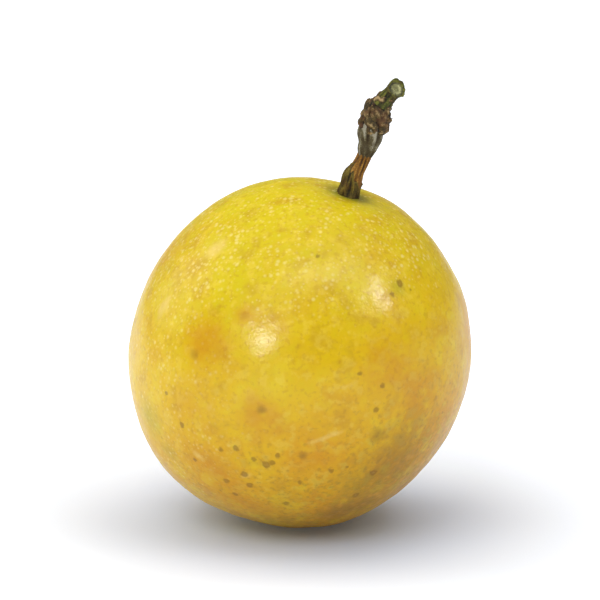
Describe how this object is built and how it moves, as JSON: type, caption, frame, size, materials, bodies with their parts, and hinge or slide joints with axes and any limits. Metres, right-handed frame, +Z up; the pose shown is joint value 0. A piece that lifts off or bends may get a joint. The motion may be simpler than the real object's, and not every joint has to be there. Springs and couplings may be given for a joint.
{
  "type": "passion fruit",
  "caption": "Round yellow passion fruit, whole and uncut, resting on a small flat spot, with the short dry stalk and withered flower cup it hung from.",
  "frame": {"origin": "on the resting surface, under the middle of the fruit's outline", "axes": "+Z up; the fruit's own axis, from blossom end to stalk, leans from +Z towards +X and a little towards -Y; the side at -Y is the one that shows"},
  "size_m": [0.0664, 0.0656, 0.0883],
  "materials": {
    "rind": "satin, waxy",
    "stalk": "matte, dry bark"
  },
  "bodies": {
    "root": {"fruit": "rind", "stalk": "stalk"}
  },
  "joints": []
}
